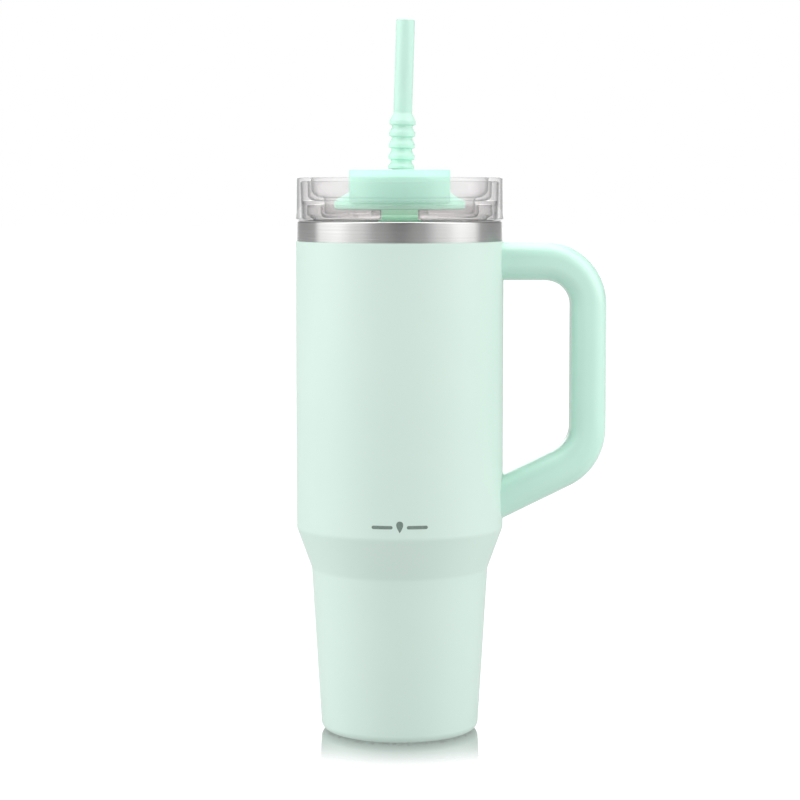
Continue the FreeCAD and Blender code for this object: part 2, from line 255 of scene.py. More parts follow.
def finish_mesh(name, bm, sharp=SHARP):
    """Object from a bmesh, outward normals, smooth but for its sharp edges."""
    bmesh.ops.recalc_face_normals(bm, faces=bm.faces)
    mesh = bpy.data.meshes.new(name)
    bm.to_mesh(mesh)
    bm.free()
    shade_smooth(mesh, sharp)
    obj = bpy.data.objects.new(name, mesh)
    bpy.context.scene.collection.objects.link(obj)
    return obj


def lathe(name, loop, segments):
    """Closed turned mesh about Z from a closed loop of (r, z) points in mm."""
    bm = bmesh.new()
    rings = []
    for r, z in loop:
        if r < 1e-6:
            rings.append([bm.verts.new((0, 0, z * MM))])
            continue
        ring = []
        for k in range(segments):
            a = 2 * math.pi * k / segments
            ring.append(bm.verts.new((r * MM * math.cos(a), r * MM * math.sin(a), z * MM)))
        rings.append(ring)
    for low, high in zip(rings, rings[1:] + rings[:1]):
        if len(low) == 1 and len(high) == 1:
            continue
        for k in range(segments):
            n = (k + 1) % segments
            quad = [low[k % len(low)], low[n % len(low)], high[n % len(high)], high[k % len(high)]]
            bm.faces.new(list(dict.fromkeys(quad)))
    return finish_mesh(name, bm)


def carve(obj, cutter):
    """Cut one mesh out of another and drop the cutter."""
    modifier = obj.modifiers.new("cut", "BOOLEAN")
    modifier.operation = "DIFFERENCE"
    modifier.solver = "EXACT"
    modifier.object = cutter
    depsgraph = bpy.context.evaluated_depsgraph_get()
    mesh = bpy.data.meshes.new_from_object(obj.evaluated_get(depsgraph))
    obj.modifiers.clear()
    old = obj.data
    obj.data = mesh
    bpy.data.meshes.remove(old)
    bpy.data.objects.remove(cutter)
    shade_smooth(mesh)
    return obj


def sector_cutter(radii, heights, middle, half):
    """Ring sector about Z with rounded ends, for slots; angles in degrees."""
    inner, outer = radii
    mid_r = (inner + outer) / 2
    cap = (outer - inner) / 2
    reach = math.radians(half) - cap / mid_r
    outline = []
    for side, radius in ((1, outer), (-1, inner)):
        for k in range(25):
            a = side * (2 * reach * k / 24 - reach)
            outline.append((radius * math.cos(a), radius * math.sin(a)))
        cos_end = math.cos(side * reach)
        sin_end = math.sin(side * reach)
        for k in range(1, 12):
            t = math.pi * k / 12
            out = mid_r + side * cap * math.cos(t)
            off = side * cap * math.sin(t)
            outline.append((out * cos_end - off * sin_end, out * sin_end + off * cos_end))
    turn = Matrix.Rotation(math.radians(middle), 2)
    flat = [turn @ Vector(p) for p in outline]
    bm = bmesh.new()
    low, high = [[bm.verts.new((p.x * MM, p.y * MM, z * MM)) for p in flat] for z in heights]
    bm.faces.new(low[::-1])
    bm.faces.new(high)
    for i in range(len(flat)):
        j = (i + 1) % len(flat)
        bm.faces.new((low[i], low[j], high[j], high[i]))
    return finish_mesh("cutter", bm)


def round_cutter(radius, centre, direction, length):
    """Cylinder from a point along a direction, mm."""
    bm = bmesh.new()
    bmesh.ops.create_cone(bm, cap_ends=True, segments=64, radius1=radius * MM,
                          radius2=radius * MM, depth=length * MM)
    axis = Vector(direction).normalized()
    place = Matrix.Translation((Vector(centre) + axis * length / 2) * MM)
    bm.transform(place @ axis.to_track_quat("Z", "Y").to_matrix().to_4x4())
    return finish_mesh("cutter", bm)


# ---------------------------------------------------------------- vessel

def body_path():
    """Outer face of the shell, from the standing ring up."""
    return [
        (STAND_INNER_R, 0, 0.3),
        (BASE_R, 0, BASE_CORNER),
        (CONE_FOOT_R, CONE_FOOT, 7),
        (BODY_R, CONE_TOP, 7),
        (BODY_R, COAT_TOP, 0.4),
    ]


def make_coated_body():
    path = body_path()
    back = beside(path, SHELL_WALL)
    path[0] = (STAND_INNER_R, 0, SHELL_WALL / 2)
    return lathe("coated_body", rounded(path + back[::-1], step=3.0), 288)


def make_steel_cup():
    """Inner cup, inside the shell by the vacuum gap, with its lip folded out over the band."""
    _, foot, cone, top, _ = beside(body_path(), BODY_R - CUP_R)
    slope = (cone[0] - foot[0]) / (cone[1] - foot[1])
    floor_r = cone[0] - slope * (cone[1] - CUP_FLOOR)
    path = [
        (0, CUP_FLOOR, 0),
        (floor_r, CUP_FLOOR, 8),
        (cone[0], cone[1], 10),
        (CUP_R, top[1], 10),
        (CUP_R, RIM_Z, LIP_ROUND),
        (BAND_R, RIM_Z, LIP_ROUND),
        (BAND_R, BAND_FOOT, 0),
    ]
    return lathe("steel_cup", rounded(path + beside(path, -CUP_WALL)[::-1], step=6.0), 288)


def make_base_disc():
    """Underside disc with a pressed ring and a shallow step nearer its edge."""
    loop = rounded([
        (0, 1.5, 0), (17.0, 1.5, 0.4), (18.0, 1.9, 0.4), (19.6, 1.9, 0.4), (20.6, 1.4, 0.4),
        (26.0, 1.4, 0.4), (27.0, 1.2, 0.4), (BASE_DISC_R, 1.2, 0.6),
        (BASE_DISC_R, BASE_DISC_TOP, 0.4), (0, BASE_DISC_TOP, 0),
    ])
    return lathe("base_disc", loop, 160)


def ease(t):
    """0 to 1 with level ends."""
    return t * t * (3 - 2 * t)


def handle_line():
    """The handle's centre line in the XZ plane as (point, outward direction, depth), and the
    direction of its lower arm."""
    slope = math.atan2(LOW_CORNER_Z - ARM_LOW_Z, GRIP_X - BODY_R)
    out_low = Vector((math.sin(slope), -math.cos(slope)))
    along = Vector((math.cos(slope), math.sin(slope)))
    turn = math.pi / 2 - slope
    reach = LOW_BEND_R * math.tan(turn / 2)
    line = []
    top_centre = Vector((GRIP_X - TOP_BEND_R, ARM_TOP_Z - TOP_BEND_R))
    for k in range(9):
        x = BODY_R + (top_centre.x - BODY_R) * k / 8
        line.append((Vector((x, ARM_TOP_Z)), Vector((0, 1)), ARM_DEEP))
    for k in range(1, 31):
        t = k / 30
        a = math.pi / 2 * (1 - t)
        out = Vector((math.cos(a), math.sin(a)))
        deep = ARM_DEEP + (GRIP_DEEP - ARM_DEEP) * ease(t)
        line.append((top_centre + out * TOP_BEND_R, out, deep))
    grip_low = LOW_CORNER_Z + reach
    for k in range(1, 17):
        z = top_centre.y + (grip_low - top_centre.y) * k / 16
        line.append((Vector((GRIP_X, z)), Vector((1, 0)), GRIP_DEEP))
    low_centre = Vector((GRIP_X - LOW_BEND_R, grip_low))
    for k in range(1, 25):
        t = k / 24
        a = -turn * t
        out = Vector((math.cos(a), math.sin(a)))
        deep = GRIP_DEEP + (ARM_DEEP - GRIP_DEEP) * ease(t)
        line.append((low_centre + out * LOW_BEND_R, out, deep))
    last = line[-1][0]
    end = Vector((BODY_R, ARM_LOW_Z))
    for k in range(1, 7):
        line.append((last + (end - last) * k / 6, out_low, ARM_DEEP))
    return line, along


def handle_section(deep):
    """Rounded rectangle, (outward, sideways) points."""
    a = deep / 2 - HANDLE_ROUND
    b = HANDLE_WIDE / 2 - HANDLE_ROUND
    points = []
    for cx, cy, start in ((a, b, 0), (-a, b, 90), (-a, -b, 180), (a, -b, 270)):
        for i in range(11):
            t = math.radians(start + 9 * i)
            points.append((cx + HANDLE_ROUND * math.cos(t), cy + HANDLE_ROUND * math.sin(t)))
    return points


def on_body(start, y, along):
    """Where a line of the handle meets the vessel's side."""
    reach = BODY_R - HANDLE_SUNK
    t = (math.sqrt(reach * reach - y * y) - start.x) / along.x
    return start + along * t


def make_handle():
    """Grip swept along its line, its ends on the body, with the two screw holes underneath."""
    line, low_along = handle_line()
    top_along = Vector((1, 0))
    bm = bmesh.new()
    rings = []
    for i, (centre, out, deep) in enumerate(line):
        ring = []
        for u, y in handle_section(deep):
            p = centre + out * u
            if i == 0:
                p = on_body(p, y, top_along)
            if i == len(line) - 1:
                p = on_body(p, y, low_along)
            ring.append(bm.verts.new((p.x * MM, y * MM, p.y * MM)))
        rings.append(ring)
    count = len(rings[0])
    for a, b in zip(rings, rings[1:]):
        for k in range(count):
            n = (k + 1) % count
            bm.faces.new((a[k], a[n], b[n], b[k]))
    bm.faces.new(rings[0])
    bm.faces.new(rings[-1][::-1])
    obj = finish_mesh("handle_skin", bm)
    for arm_z, along in ((ARM_TOP_Z, top_along), (ARM_LOW_Z, low_along)):
        inward = Vector((-along.y, along.x))
        spot = Vector((BODY_R, arm_z)) + along * SCREW_X - inward * (ARM_DEEP / 2 + 1)
        carve(obj, round_cutter(SCREW_HOLE_R, (spot.x, 0, spot.y), (inward.x, 0, inward.y),
                                1 + SCREW_HOLE_DEPTH))
    return obj


def make_print_mark():
    """Plain printed droplet between two dashes, wrapped on the front of the body."""
    drop = []
    for k in range(48):
        t = 2 * math.pi * k / 48
        drop.append((DROP_HALF_WIDE * math.sin(t) * math.sin(t / 2) ** 1.4,
                     -0.3 - DROP_HALF_TALL * math.cos(t)))
    shapes = [drop]
    for middle in (-DASH_X, DASH_X):
        dash = []
        for end, start in ((middle + DASH_HALF, -90), (middle - DASH_HALF, 90)):
            for i in range(9):
                t = math.radians(start + 22.5 * i)
                dash.append((end + DASH_R * math.cos(t), -0.4 + DASH_R * math.sin(t)))
        shapes.append(dash)
    bm = bmesh.new()
    for shape in shapes:
        bm.faces.new([bm.verts.new((x, 0, z)) for x, z in shape])
    for k in range(-30, 31):
        everything = bm.verts[:] + bm.edges[:] + bm.faces[:]
        bmesh.ops.bisect_plane(bm, geom=everything, plane_co=(k * 0.5 + 0.01, 0, 0),
                               plane_no=(1, 0, 0))
    made = bmesh.ops.extrude_face_region(bm, geom=bm.faces[:], use_keep_orig=True)
    front = {v for v in made["geom"] if isinstance(v, bmesh.types.BMVert)}
    for v in bm.verts:
        radius = BODY_R + (INK_PROUD if v in front else -INK_SUNK)
        a = v.co.x / BODY_R
        v.co = Vector((radius * math.sin(a), -radius * math.cos(a), MARK_Z + v.co.z)) * MM
    return finish_mesh("print_mark", bm)


# ---------------------------------------------------------------- lid

def make_clear_base():
    """Plug, deck and well in one turned piece, with the sip hole and the vent hole cut."""
    loop = rounded([
        (47.2, DECK_Z, 0.3), (46.9, DECK_UNDER, 0.5), (46.6, LID_FOOT, 0.4),
        (PLUG_R, LID_FOOT, 0.3), (PLUG_R, GROOVE_TOP, 0.15), (GROOVE_R, GROOVE_TOP, 0.15),
        (GROOVE_R, GROOVE_FOOT, 0.15), (PLUG_R, GROOVE_FOOT, 0.15), (PLUG_R, PLUG_FOOT, 1.0),
        (PLUG_INNER_R, PLUG_FOOT, 0.6), (PLUG_INNER_R, 248.2, 1.0), (44.7, 250.4, 1.0),
        (44.9, DECK_UNDER, 0.8), (38.2, DECK_UNDER, 0.6), (38.2, WELL_UNDER, 2.6),
        (HUB_HOLE_R, WELL_UNDER, 0.3), (HUB_HOLE_R, HUB_WALL_TOP, 0.4),
        (HUB_WALL_R, HUB_WALL_TOP, 0.5), (HUB_WALL_R, WELL_FLOOR, 0.6), (WELL_R, WELL_FLOOR, 1.6),
        (WELL_R, DECK_Z, 0.4),
    ])
    base = lathe("clear_base", loop, 192)
    low = WELL_UNDER - 1.2
    carve(base, sector_cutter((23.6, 29.2), (low, WELL_FLOOR + 1), SIP_AZIMUTH, 16))
    return carve(base, round_cutter(VENT_R, (VENT_X, 0, low), (0, 0, 1), 4.5))


def make_clear_collar():
    """Collar with an outer wall, a top and an inner wall that runs down into the bowl's floor."""
    bowl_floor = 258.6
    bowl_r = 36.7
    seat = DECK_Z + 0.05
    roof = LID_TOP - COLLAR_WALL
    loop = rounded([
        (COLLAR_R, LID_FOOT, 0.8), (49.76, LID_TOP, 1.1), (42.9, LID_TOP, 1.0),
        (42.4, bowl_floor, 5.0), (bowl_r, bowl_floor, 0.5), (bowl_r, seat, 0.2), (44.2, seat, 3.0),
        (44.6, roof, 1.2), (48.1, roof, 1.2), (47.5, LID_FOOT, 0.3),
    ])
    return lathe("clear_collar", loop, 288)


def make_gasket():
    """Silicone ring in the plug's groove, with two lips."""
    slack = 0.05
    inner = GROOVE_R + slack
    foot = GROOVE_FOOT + slack
    top = GROOVE_TOP - slack
    corners = [(inner, foot, 0.1), (GASKET_BACK_R, foot, 0.2)]
    for lip_foot, after in ((239.3, 0.2), (241.5, 0.1)):
        corners += [
            (GASKET_BACK_R, lip_foot, 0.2), (GASKET_LIP_R, lip_foot + 0.6, 0.25),
            (GASKET_LIP_R, lip_foot + 1.2, 0.2), (GASKET_BACK_R, lip_foot + 1.5, after),
        ]
    corners += [(GASKET_BACK_R, top, 0.1), (inner, top, 0.1)]
    return lathe("gasket", rounded(corners), 192)


def cone_height(radius):
    """Foot of the grip block at a radius: on the turning disc, and lower outside it; in mm."""
    if radius >= DISC_R + 0.05:
        return CAP_FOOT
    share = (DISC_R - radius) / (DISC_R - CONE_CAP_R)
    return min(DISC_TOP + share * (CONE_CAP_Z - DISC_TOP), CONE_CAP_Z) + 0.05


def make_turning_disc():
    """Disc with a cone, a moat round the straw's guide, and the hub below it."""
    moat_r = (10.5, 22.3)
    moat_floor = 255.6
    loop = rounded([
        (STRAW_HOLE_R, GUIDE_TOP, 0.2), (STRAW_HOLE_R, SLEEVE_TOP, 0.1),
        (SLEEVE_R, SLEEVE_TOP, 0.1), (SLEEVE_R, HUB_FOOT, 0.2),
        (HUB_R, HUB_FOOT, 0.3), (HUB_R, HUB_SHADE_Z, 0),
        (HUB_R, DISC_FOOT, 0.5), (DISC_R, DISC_FOOT, 0.5), (DISC_R, DISC_TOP, 0.4),
        (CONE_CAP_R, CONE_CAP_Z, 0.4), (moat_r[1], CONE_CAP_Z, 0.2), (moat_r[1], moat_floor, 0.8),
        (moat_r[0], moat_floor, 0.8), (moat_r[0], CONE_CAP_Z, 0.2), (GUIDE_R, CONE_CAP_Z, 0.3),
        (GUIDE_R, GUIDE_TOP, 0.2),
    ])
    disc = lathe("turning_disc", loop, 256)
    return carve(disc, sector_cutter((25.2, 30.2), (252, 262), 0, 14))


def paint_hub_glow(disc, edge, hub):
    """Painted glow on the disc's edge and underside, and a stronger painted glow on its hub; the
    hub below HUB_SHADE_Z keeps the edge's weaker glow as painted shade, and the disc's top keeps
    the first material.
    """
    disc.data.materials.append(edge)
    disc.data.materials.append(hub)
    for face in disc.data.polygons:
        height = face.center.z / MM
        if HUB_SHADE_Z < height < DISC_FOOT - 0.05:
            face.material_index = 2
        elif height < DISC_TOP - 0.05:
            face.material_index = 1


def cap_plan(side_inset, end_inset):
    """Plan of the grip block, its straight sides and its round ends moved in."""
    count = 56
    radius = CAP_R - end_inset
    half = CAP_HALF - side_inset
    corner = max(CAP_CORNER - side_inset, 0.6)
    cx = half - corner
    cy = math.sqrt((radius - corner) ** 2 - cx * cx)
    lean = math.atan2(cy, cx)
    quarter = []
    for k in range(count // 4):
        quarter.append((half, cy * (k / (count // 4)) ** 0.8))
    for k in range(13):
        t = lean * k / 12
        quarter.append((cx + corner * math.cos(t), cy + corner * math.sin(t)))
    for k in range(1, count):
        t = lean + (math.pi / 2 - lean) * k / count
        quarter.append((radius * math.cos(t), radius * math.sin(t)))
    plan = quarter + [(0.0, radius)]
    plan += [(-x, y) for x, y in quarter[:0:-1]]
    plan += [(-x, -y) for x, y in quarter]
    plan += [(0.0, -radius)]
    plan += [(x, -y) for x, y in quarter[:0:-1]]
    return plan


def make_cover_block():
    """Hollow grip block with a facet along its round top edges."""
    bm = bmesh.new()

    def ring(points, heights):
        return [bm.verts.new((x * MM, y * MM, z * MM)) for (x, y), z in zip(points, heights)]

    outer = cap_plan(0, 0)
    inner = cap_plan(CAP_WALL, CAP_WALL)
    facet_in, facet_down = CAP_FACET
    rings = [ring(outer, [cone_height(math.hypot(x, y)) for x, y in outer])]
    for z in (CAP_STRAIGHT_Z, CAP_TOP - facet_down - 0.25):
        rings.append(ring(outer, [z] * len(outer)))
    for k in range(1, 5):
        share = k / 4 * (1 - CAP_EDGE / facet_down)
        plan = cap_plan(0, facet_in * share)
        rings.append(ring(plan, [CAP_TOP - facet_down * (1 - share)] * len(plan)))
    for k in range(1, 7):
        t = math.pi / 2 * k / 6
        end_in = facet_in * (1 - CAP_EDGE / facet_down) + CAP_EDGE * (1 - math.cos(t))
        plan = cap_plan(CAP_EDGE * (1 - math.cos(t)), end_in)
        rings.append(ring(plan, [CAP_TOP - CAP_EDGE + CAP_EDGE * math.sin(t)] * len(plan)))
    angles = [math.atan2(y, x) for x, y in outer]
    for radius, z in ((12, CAP_TOP), (6.6, CAP_TOP), (6.1, CAP_TOP - 0.1), (5.8, CAP_TOP - 0.4),
                      (STRAW_HOLE_R, CAP_TOP - 0.8), (STRAW_HOLE_R, GUIDE_TOP + 0.2),
                      (STRAW_HOLE_R, GUIDE_TOP + 0.05)):
        circle = [(radius * math.cos(a), radius * math.sin(a)) for a in angles]
        rings.append(ring(circle, [z] * len(circle)))
    rings.append(ring(inner, [CAP_TOP - CAP_WALL] * len(inner)))
    rings.append(ring(inner, [CAP_STRAIGHT_Z] * len(inner)))
    rings.append(ring(inner, [cone_height(math.hypot(x, y)) for x, y in inner]))
    count = len(outer)
    for a, b in zip(rings, rings[1:] + rings[:1]):
        for k in range(count):
            n = (k + 1) % count
            bm.faces.new((a[k], a[n], b[n], b[k]))
    return finish_mesh("cover_block", bm, COVER_SHARP)


def make_cover_pad():
    """Silicone pad over the sip hole, its lower edge eased."""
    obj = sector_cutter((22.0, 30.4), (WELL_FLOOR + 0.4, DISC_FOOT), SIP_AZIMUTH, 22)
    obj.name = "cover_pad"
    bevel = obj.modifiers.new("edge", "BEVEL")
    bevel.width = 0.4 * MM
    bevel.segments = 3
    bevel.limit_method = "ANGLE"
    bevel.angle_limit = math.radians(50)
    return obj


# ---------------------------------------------------------------- straw

def on_straw(obj):
    """Carry a mesh from straw coordinates to the tilted straw."""
    place = Matrix.Translation((0, 0, STRAW_CROSS_Z * MM)) @ Matrix.Rotation(STRAW_TILT, 4, "Y")
    obj.data.transform(place)
    return obj


def tube_loop(low, high):
    """Wall of the straw between two heights along it."""
    return rounded([
        (STRAW_BORE, low, 0.3), (STRAW_R, low, 0.35),
        (STRAW_R, high, 0.35), (STRAW_BORE, high, 0.3),
    ])


def make_bellows():
    """Corrugated bend: cones widening downwards, each with a band and an undercut."""
    edge = BELLOWS_TOP - 5.3
    face = [(STRAW_R, BELLOWS_TOP + 1.0, 0), (STRAW_R, BELLOWS_TOP, 1.2)]
    face += [(RIB_R, edge + 1.8, 0.8), (RIB_R, edge, 0.35)]
    for _ in range(3):
        face += [(NECK_R, edge - 0.45, 0.25), (NECK_R, edge - 1.35, 0.6)]
        edge -= RIB_PITCH
        face += [(RIB_R, edge + 1.9, 0.8), (RIB_R, edge, 0.35)]
    face += [(NECK_R, edge - 0.45, 0.25), (NECK_R, edge - 1.35, 0.6)]
    face += [(RIB_R, edge - 3.4, 0.4), (RIB_R, BELLOWS_LOW, 0.2)]
    wall = STRAW_R - STRAW_BORE
    back = [(STRAW_BORE, BELLOWS_TOP + 1.0, 0)]
    back += [(r - wall, z + 0.2, 0.2) for r, z, _ in face[1:-1]]
    back += [(RIB_R - wall, BELLOWS_LOW + 0.9, 0.2), (STRAW_BORE, BELLOWS_LOW + 0.9, 0)]
    back += [(STRAW_BORE, BELLOWS_LOW, 0)]
    return lathe("straw_bend_skin", rounded(face + back[::-1], step=15.0), 72)


def make_grommet():
    """Silicone sleeve in the hub: a flange below, and a lip that holds the straw."""
    lip_r = STRAW_R + 0.12
    outer_r = SLEEVE_R - 0.05
    top = SLEEVE_TOP - 0.1
    foot = HUB_FOOT - 1.1
    loop = rounded([
        (STRAW_HOLE_R, foot, 0.4), (10.4, foot, 0.5), (10.4, HUB_FOOT - 0.1, 0.45),
        (9.3, HUB_FOOT, 0.05), (outer_r, HUB_FOOT, 0.1), (outer_r, top, 0.2),
        (STRAW_HOLE_R, top, 0.2), (STRAW_HOLE_R, 251.2, 0.3), (lip_r, 250.7, 0.25),
        (lip_r, 249.3, 0.25), (STRAW_HOLE_R, 248.6, 0.3),
    ])
    return lathe("straw_sleeve", loop, 128)


# ---------------------------------------------------------------- materials

def linear(colour):
    """Linear RGBA from an 8-bit sRGB colour."""
    out = []
    for v in colour:
        v /= 255
        out.append(v / 12.92 if v <= 0.04045 else ((v + 0.055) / 1.055) ** 2.4)
    return (*out, 1.0)


def mix_shaders(tree, share, first, second):
    """One shader that turns into another as the share goes from 0 to 1."""
    mix = tree.nodes.new("ShaderNodeMixShader")
    for socket, source in zip(mix.inputs, (share, first, second)):
        tree.links.new(source, socket)
    return mix.outputs["Shader"]


class Finish:
    """A Principled material with procedural detail added to it."""

    def __init__(self, name, colour, roughness, **settings):
        self.material = bpy.data.materials.new(name)
        self.material.use_nodes = True
        self.tree = self.material.node_tree
        self.shader = self.tree.nodes["Principled BSDF"]
        self.colour = linear(colour)
        self.shader.inputs["Base Color"].default_value = self.colour
        self.shader.inputs["Roughness"].default_value = roughness
        for key, value in settings.items():
            self.shader.inputs[key.replace("_", " ")].default_value = value
        self.normal = None
        self.place = self.tree.nodes.new("ShaderNodeTexCoord").outputs["Object"]

    def node(self, kind, **settings):
        made = self.tree.nodes.new(kind)
        for key, value in settings.items():
            setattr(made, key, value)
        return made

    def link(self, source, target):
        self.tree.links.new(source, target)

    def facing(self):
        """Layer Weight's facing value: 0 where a face is seen square on, 1 edge-on."""
        weight = self.node("ShaderNodeLayerWeight")
        weight.inputs["Blend"].default_value = 0.5
        return weight.outputs["Facing"]

    def surface(self, shader):
        """Put another shader on the material's output."""
        self.link(shader, self.tree.nodes["Material Output"].inputs["Surface"])

    def noise(self, scale, detail=2.0, stretch=(1, 1, 1), distortion=0.0):
        """Noise value from object coordinates; scale is per metre."""
        mapping = self.node("ShaderNodeMapping")
        mapping.inputs["Scale"].default_value = stretch
        self.link(self.place, mapping.inputs["Vector"])
        noise = self.node("ShaderNodeTexNoise")
        noise.inputs["Scale"].default_value = scale
        noise.inputs["Detail"].default_value = detail
        noise.inputs["Distortion"].default_value = distortion
        self.link(mapping.outputs["Vector"], noise.inputs["Vector"])
        return noise.outputs["Fac"]

    def spread(self, value, low, high, start=0.3, end=0.7, **settings):
        """Map a value's range from start to end, a noise's middle if not said, to low..high."""
        ramp = self.node("ShaderNodeMapRange", **settings)
        ramp.inputs["From Min"].default_value = start
        ramp.inputs["From Max"].default_value = end
        ramp.inputs["To Min"].default_value = low
        ramp.inputs["To Max"].default_value = high
        self.link(value, ramp.inputs["Value"])
        return ramp.outputs["Result"]

    def bump(self, value, distance):
        """Raise the surface by a value, distance in mm."""
        bump = self.node("ShaderNodeBump")
        bump.inputs["Strength"].default_value = 1.0
        bump.inputs["Distance"].default_value = distance * MM
        self.link(value, bump.inputs["Height"])
        if self.normal is not None:
            self.link(self.normal, bump.inputs["Normal"])
        self.normal = bump.outputs["Normal"]
        self.link(self.normal, self.shader.inputs["Normal"])
        return self

    def rough(self, value, low, high):
        """Vary the roughness by a value."""
        self.link(self.spread(value, low, high), self.shader.inputs["Roughness"])
        return self

    def tint(self, value, other, low=0.0, high=1.0):
        """Blend the base colour towards another one by a value."""
        mix = self.node("ShaderNodeMix", data_type="RGBA")
        mix.inputs["A"].default_value = self.colour
        mix.inputs["B"].default_value = linear(other)
        source = self.shader.inputs["Base Color"]
        if source.is_linked:
            self.link(source.links[0].from_socket, mix.inputs["A"])
        self.link(self.spread(value, low, high), mix.inputs["Factor"])
        self.link(mix.outputs["Result"], source)
        return self

    def height_band(self, low, high):
        """1 below low, 0 above high, in mm of height."""
        split = self.node("ShaderNodeSeparateXYZ")
        self.link(self.place, split.inputs["Vector"])
        return self.spread(split.outputs["Z"], 1.0, 0.0, low * MM, high * MM)

    def product(self, a, b):
        times = self.node("ShaderNodeMath", operation="MULTIPLY")
        self.link(a, times.inputs[0])
        self.link(b, times.inputs[1])
        return times.outputs["Value"]

    def brushed_round(self):
        """Anisotropy that follows the turning about Z."""
        tangent = self.node("ShaderNodeTangent", direction_type="RADIAL", axis="Z")
        self.link(tangent.outputs["Tangent"], self.shader.inputs["Tangent"])
        return self


def coated_steel():
    """Satin powder coat: faint orange peel, soft cloudy colour, darker grey streaks low on the
    standing ring.
    """
    f = Finish("powder_coat", (202, 222, 213), 0.4, Specular_IOR_Level=0.55)
    f.tint(f.noise(14, 3), (198, 220, 210))
    # Darker grey streaks in the lowest 2.2 mm, on the standing ring.
    foot_streaks = f.product(f.height_band(0.4, 2.2), f.noise(420, 4, (1, 1, 0.4), 0.6))
    f.tint(foot_streaks, (178, 190, 184), -0.6, 1.2)
    f.rough(f.noise(60, 4), 0.39, 0.46)
    f.bump(f.noise(620, 2), 0.012)
    return f.bump(f.noise(2600, 2), 0.004).material


def steel():
    """Stainless steel brushed round the axis."""
    f = Finish("brushed_stainless", (214, 214, 213), 0.24, Metallic=1.0,
               Anisotropic=0.75, Anisotropic_Rotation=0.25)
    streaks = f.noise(5, 5, (1.0, 1.0, 1100.0))
    f.tint(streaks, (203, 203, 202))
    f.rough(f.noise(6, 3, (1.0, 1.0, 500.0)), 0.20, 0.28)
    f.bump(streaks, 0.0015)
    return f.brushed_round().material


def plain_steel(name, colour, roughness):
    """Rolled or plated steel with faint mottling."""
    f = Finish(name, colour, roughness, Metallic=1.0)
    f.tint(f.noise(90, 4), tuple(max(0, c - 22) for c in colour))
    f.rough(f.noise(240, 3), roughness - 0.05, roughness + 0.08)
    return f.bump(f.noise(900, 3), 0.006).material


def moulded(name, colour, other, roughness, grain, **settings):
    """Injection-moulded plastic: slow colour drift, fine spark-eroded grain, faint flow."""
    f = Finish(name, colour, roughness, **settings)
    f.tint(f.noise(24, 2), other)
    f.rough(f.noise(110, 3), roughness - 0.03, roughness + 0.04)
    f.bump(f.noise(60, 2), 0.01)
    return f.bump(f.noise(3000, 2), grain).material


def clear_plastic(name, face_on):
    """Polished clear copolyester: light goes straight through, less where a face is edge-on."""
    f = Finish(name, (238, 241, 240), 0.03, Metallic=1.0)
    f.rough(f.noise(80, 2), 0.01, 0.05)
    f.bump(f.noise(34, 2), 0.006)
    edge_on = f.facing()
    veil = f.node("ShaderNodeMix", data_type="RGBA")
    veil.inputs["A"].default_value = face_on
    veil.inputs["B"].default_value = CLEAR_EDGE_ON
    f.link(f.spread(edge_on, 0.0, 1.0, 0.72, 1.0), veil.inputs["Factor"])
    through = f.node("ShaderNodeBsdfTransparent")
    f.link(veil.outputs["Result"], through.inputs["Color"])
    steep = f.node("ShaderNodeMath", operation="POWER")
    steep.inputs[1].default_value = 5.0
    f.link(edge_on, steep.inputs[0])
    mirror = f.spread(steep.outputs["Value"], 0.04, 1.0, 0.0, 1.0)
    plain = f.node("ShaderNodeBsdfTransparent").outputs["BSDF"]
    rays = f.node("ShaderNodeLightPath")
    look = mix_shaders(f.tree, mirror, through.outputs["BSDF"], f.shader.outputs["BSDF"])
    for ray in ("Is Shadow Ray", "Is Diffuse Ray"):
        look = mix_shaders(f.tree, rays.outputs[ray], look, plain)
    f.surface(look)
    return f.material


def silicone(name, colour, other, **settings):
    """Soft rubber with a slow colour drift and a dull fine grain."""
    f = Finish(name, colour, 0.5, **settings)
    f.tint(f.noise(70, 3), other)
    f.rough(f.noise(300, 2), 0.45, 0.58)
    return f.bump(f.noise(2200, 2), 0.006).material


def print_ink():
    f = Finish("print_ink", (104, 122, 114), 0.5)
    f.tint(f.noise(900, 3), (118, 136, 128))
    return f.bump(f.noise(2500, 2), 0.004).material


def sintered():
    f = Finish("sintered_tablet", (58, 58, 60), 0.8, Metallic=0.6)
    f.tint(f.noise(1400, 4), (92, 90, 88))
    return f.bump(f.noise(1500, 4), 0.05).material


def floor_finish():
    """White sweep, a mirror only close round the base and seen low, where the foot shows in it."""
    f = Finish("pale_floor", (112, 112, 112), 0.5, Specular_IOR_Level=0.0)
    rays = f.node("ShaderNodeLightPath")
    seen = f.node("ShaderNodeMath", operation="MAXIMUM")
    f.link(rays.outputs["Is Camera Ray"], seen.inputs[0])
    f.link(rays.outputs["Is Transmission Ray"], seen.inputs[1])
    glow = f.spread(seen.outputs["Value"], FLOOR_GLOW, FLOOR_WHITE, 0.0, 1.0)
    f.shader.inputs["Emission Color"].default_value = (1, 1, 1, 1)
    f.link(glow, f.shader.inputs["Emission Strength"])
    length = f.node("ShaderNodeVectorMath", operation="LENGTH")
    f.link(f.place, length.inputs[0])
    near = f.spread(length.outputs["Value"], MIRROR_SHARE, 0.0, MIRROR_FULL_R * MM,
                    MIRROR_END_R * MM, interpolation_type="SMOOTHSTEP")
    low_view = f.spread(f.facing(), 0.0, 1.0, MIRROR_STEEP, MIRROR_LOW)
    mirror = f.node("ShaderNodeBsdfGlossy")
    mirror.inputs["Color"].default_value = (0.74, 0.74, 0.74, 1)
    mirror.inputs["Roughness"].default_value = 0.06
    f.surface(mix_shaders(f.tree, f.product(near, low_view), f.shader.outputs["BSDF"],
                          mirror.outputs["BSDF"]))
    return f.material


# ---------------------------------------------------------------- assembly

